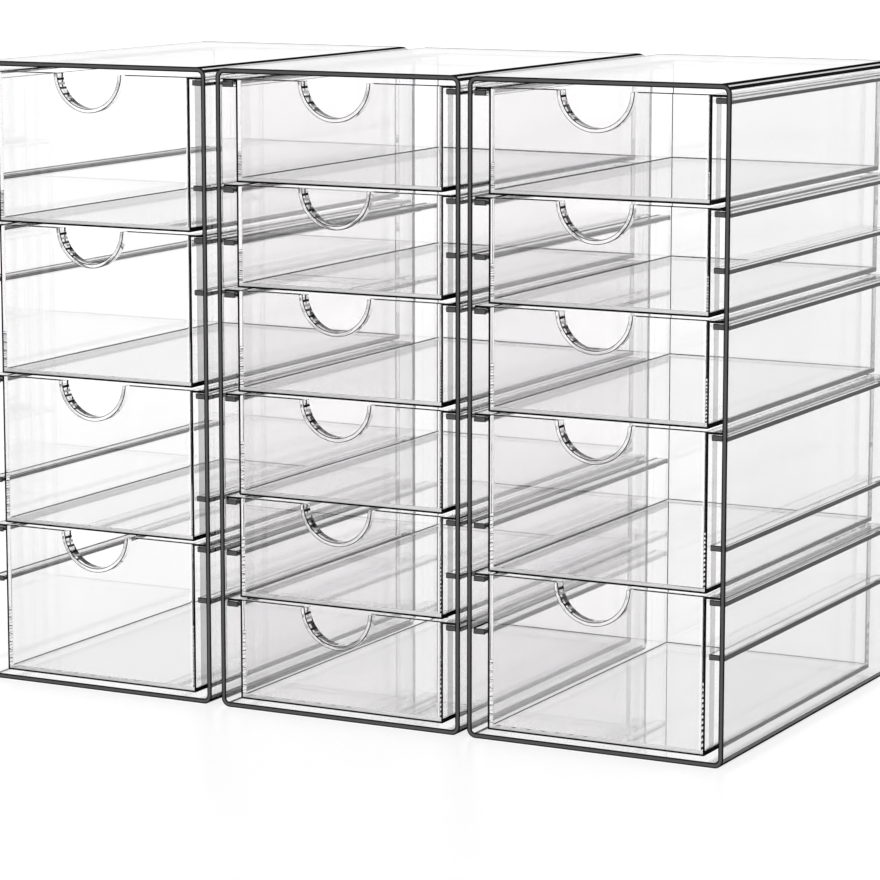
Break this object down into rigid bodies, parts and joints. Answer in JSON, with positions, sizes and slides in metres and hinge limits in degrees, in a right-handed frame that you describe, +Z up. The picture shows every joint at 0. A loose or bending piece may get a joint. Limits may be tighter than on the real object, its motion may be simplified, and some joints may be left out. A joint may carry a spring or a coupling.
{
  "type": "drawer organizer",
  "caption": "Clear plastic desktop towers standing side by side, each a moulded housing with side rails and sliding drawers that open by a half-round finger notch.",
  "frame": {"origin": "middle of the whole set's footprint, on the surface that it stands on", "axes": "+Z up, the fronts face -Y, +X to the right seen from the front"},
  "size_m": [0.3624, 0.1918, 0.28],
  "materials": {
    "housing_plastic": "clear, high gloss",
    "drawer_plastic": "clear, high gloss"
  },
  "bodies": {
    "root": {"housing_left": "housing_plastic", "housing_middle": "housing_plastic", "housing_right": "housing_plastic"},
    "drawer_left_1": {"drawer_left_1": "drawer_plastic"},
    "drawer_left_2": {"drawer_left_2": "drawer_plastic"},
    "drawer_left_3": {"drawer_left_3": "drawer_plastic"},
    "drawer_left_4": {"drawer_left_4": "drawer_plastic"},
    "drawer_middle_1": {"drawer_middle_1": "drawer_plastic"},
    "drawer_middle_2": {"drawer_middle_2": "drawer_plastic"},
    "drawer_middle_3": {"drawer_middle_3": "drawer_plastic"},
    "drawer_middle_4": {"drawer_middle_4": "drawer_plastic"},
    "drawer_middle_5": {"drawer_middle_5": "drawer_plastic"},
    "drawer_middle_6": {"drawer_middle_6": "drawer_plastic"},
    "drawer_right_1": {"drawer_right_1": "drawer_plastic"},
    "drawer_right_2": {"drawer_right_2": "drawer_plastic"},
    "drawer_right_3": {"drawer_right_3": "drawer_plastic"},
    "drawer_right_4": {"drawer_right_4": "drawer_plastic"},
    "drawer_right_5": {"drawer_right_5": "drawer_plastic"}
  },
  "joints": [
    {"name": "slide_left_1", "type": "slide", "parent": "root", "child": "drawer_left_1", "axis": [0, -1, 0], "range_m": [0, 0.13]},
    {"name": "slide_left_2", "type": "slide", "parent": "root", "child": "drawer_left_2", "axis": [0, -1, 0], "range_m": [0, 0.13]},
    {"name": "slide_left_3", "type": "slide", "parent": "root", "child": "drawer_left_3", "axis": [0, -1, 0], "range_m": [0, 0.13]},
    {"name": "slide_left_4", "type": "slide", "parent": "root", "child": "drawer_left_4", "axis": [0, -1, 0], "range_m": [0, 0.13]},
    {"name": "slide_middle_1", "type": "slide", "parent": "root", "child": "drawer_middle_1", "axis": [0, -1, 0], "range_m": [0, 0.13]},
    {"name": "slide_middle_2", "type": "slide", "parent": "root", "child": "drawer_middle_2", "axis": [0, -1, 0], "range_m": [0, 0.13]},
    {"name": "slide_middle_3", "type": "slide", "parent": "root", "child": "drawer_middle_3", "axis": [0, -1, 0], "range_m": [0, 0.13]},
    {"name": "slide_middle_4", "type": "slide", "parent": "root", "child": "drawer_middle_4", "axis": [0, -1, 0], "range_m": [0, 0.13]},
    {"name": "slide_middle_5", "type": "slide", "parent": "root", "child": "drawer_middle_5", "axis": [0, -1, 0], "range_m": [0, 0.13]},
    {"name": "slide_middle_6", "type": "slide", "parent": "root", "child": "drawer_middle_6", "axis": [0, -1, 0], "range_m": [0, 0.13]},
    {"name": "slide_right_1", "type": "slide", "parent": "root", "child": "drawer_right_1", "axis": [0, -1, 0], "range_m": [0, 0.13]},
    {"name": "slide_right_2", "type": "slide", "parent": "root", "child": "drawer_right_2", "axis": [0, -1, 0], "range_m": [0, 0.13]},
    {"name": "slide_right_3", "type": "slide", "parent": "root", "child": "drawer_right_3", "axis": [0, -1, 0], "range_m": [0, 0.13]},
    {"name": "slide_right_4", "type": "slide", "parent": "root", "child": "drawer_right_4", "axis": [0, -1, 0], "range_m": [0, 0.13]},
    {"name": "slide_right_5", "type": "slide", "parent": "root", "child": "drawer_right_5", "axis": [0, -1, 0], "range_m": [0, 0.13]}
  ]
}
